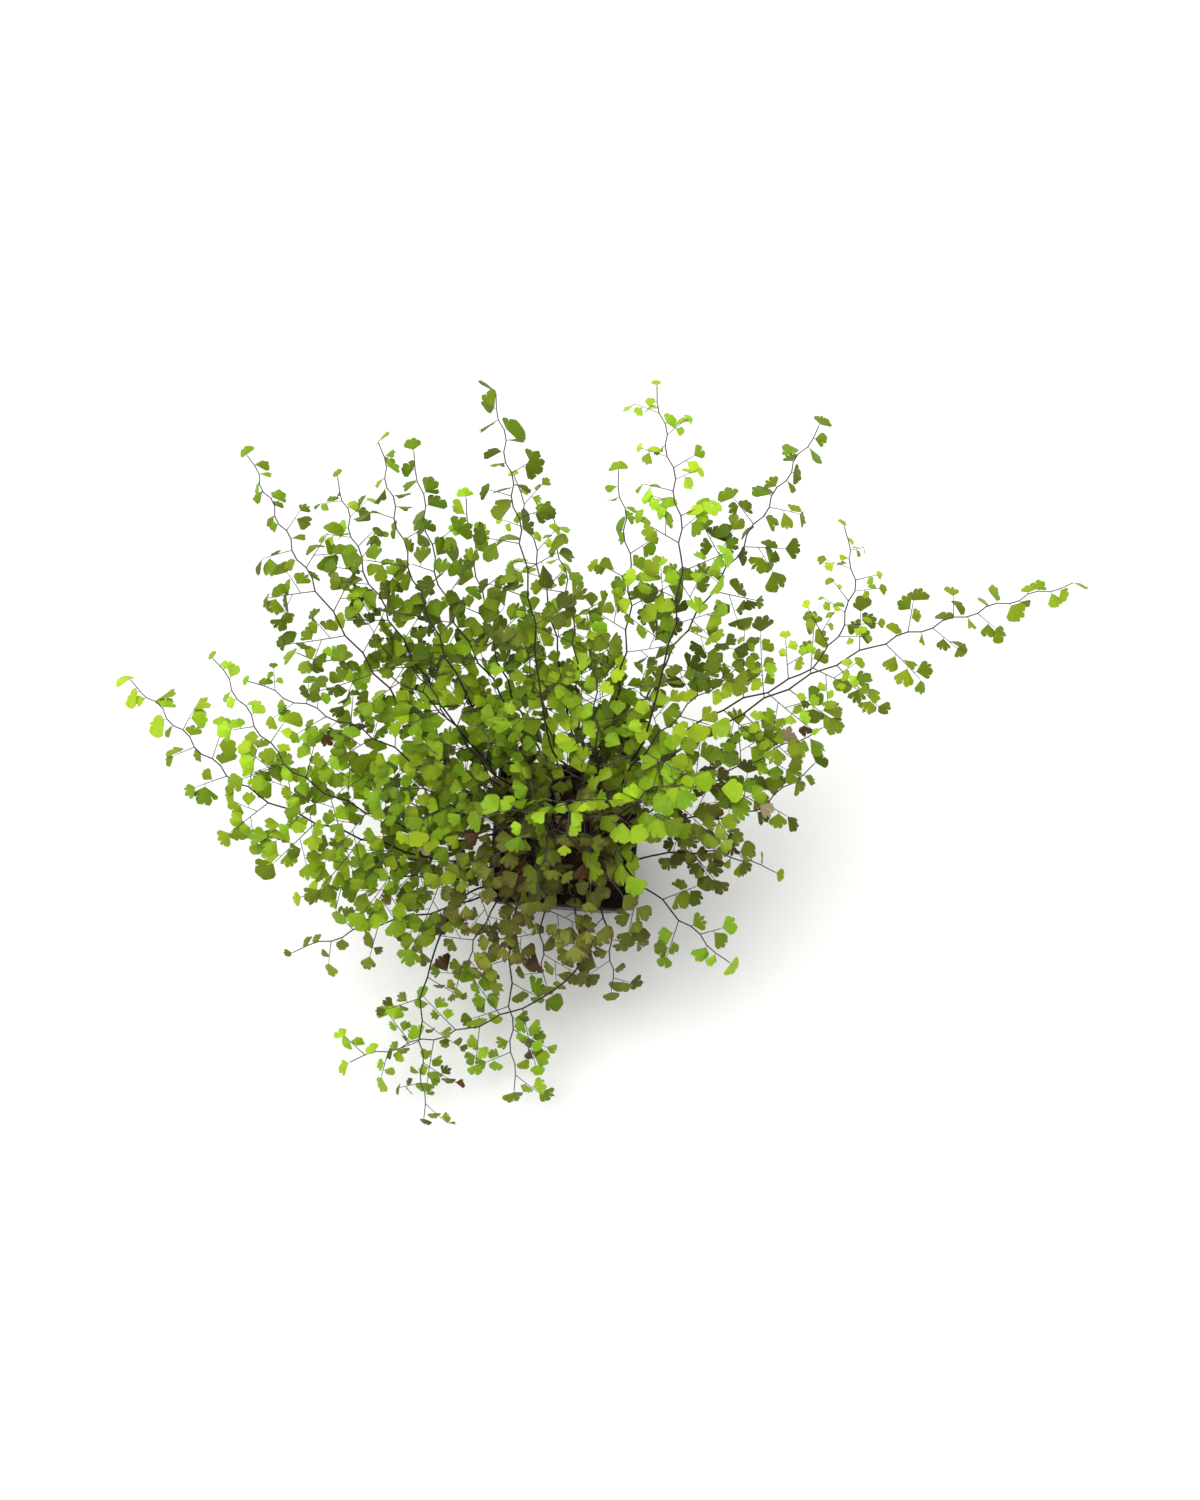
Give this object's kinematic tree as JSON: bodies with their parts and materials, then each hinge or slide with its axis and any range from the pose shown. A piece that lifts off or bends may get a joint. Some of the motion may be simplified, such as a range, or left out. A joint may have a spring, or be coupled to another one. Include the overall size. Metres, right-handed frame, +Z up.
{
  "type": "potted maidenhair fern",
  "caption": "Maidenhair fern with wiry arching fronds of small fan-shaped leaflets, growing in a small square plastic nursery pot.",
  "frame": {"origin": "centre of the flat underside of the pot, on the surface it stands on", "axes": "+Z up out of the pot, -Y towards the viewer of the picture, +X to the viewer's right; the pot's sides lie along X and Y"},
  "size_m": [0.5724, 0.4122, 0.275],
  "materials": {
    "pot": "black polypropylene, satin",
    "soil": "damp peat potting mix, matt",
    "leaf_young": "fresh yellow-green leaflets, soft sheen",
    "leaf_full": "mid green leaflets, soft sheen",
    "leaf_old": "last year's olive leaflets with brown edges, dull",
    "stalk": "near-black wiry stalks, polished"
  },
  "bodies": {
    "root": {"pot": "pot", "soil": "soil", "frond_01": "leaf_full", "frond_02": "leaf_full", "frond_03": "leaf_old", "frond_04": "leaf_full", "frond_05": "leaf_full", "frond_06": "leaf_young", "frond_07": "leaf_full", "frond_08": "leaf_full", "frond_09": "leaf_full", "frond_10": "leaf_full", "frond_11": "leaf_young", "frond_12": "leaf_full", "frond_13": "leaf_full", "frond_14": "leaf_young", "frond_15": "leaf_full", "frond_16": "leaf_young", "frond_17": "leaf_full", "frond_18": "leaf_full", "frond_19": "leaf_full", "frond_20": "leaf_full", "frond_21": "leaf_full", "frond_22": "leaf_full", "frond_23": "leaf_full", "frond_24": "leaf_old", "frond_25": "leaf_old", "frond_26": "leaf_old", "frond_27": "leaf_old", "frond_28": "leaf_young", "frond_29": "leaf_full", "frond_30": "leaf_young", "frond_31": "leaf_full", "frond_32": "leaf_young", "frond_33": "leaf_full", "frond_34": "leaf_young", "frond_35": "leaf_full", "frond_36": "leaf_full", "frond_37": "leaf_full", "frond_38": "leaf_full", "frond_39": "leaf_full", "frond_40": "leaf_full", "frond_41": "leaf_young"}
  },
  "joints": []
}
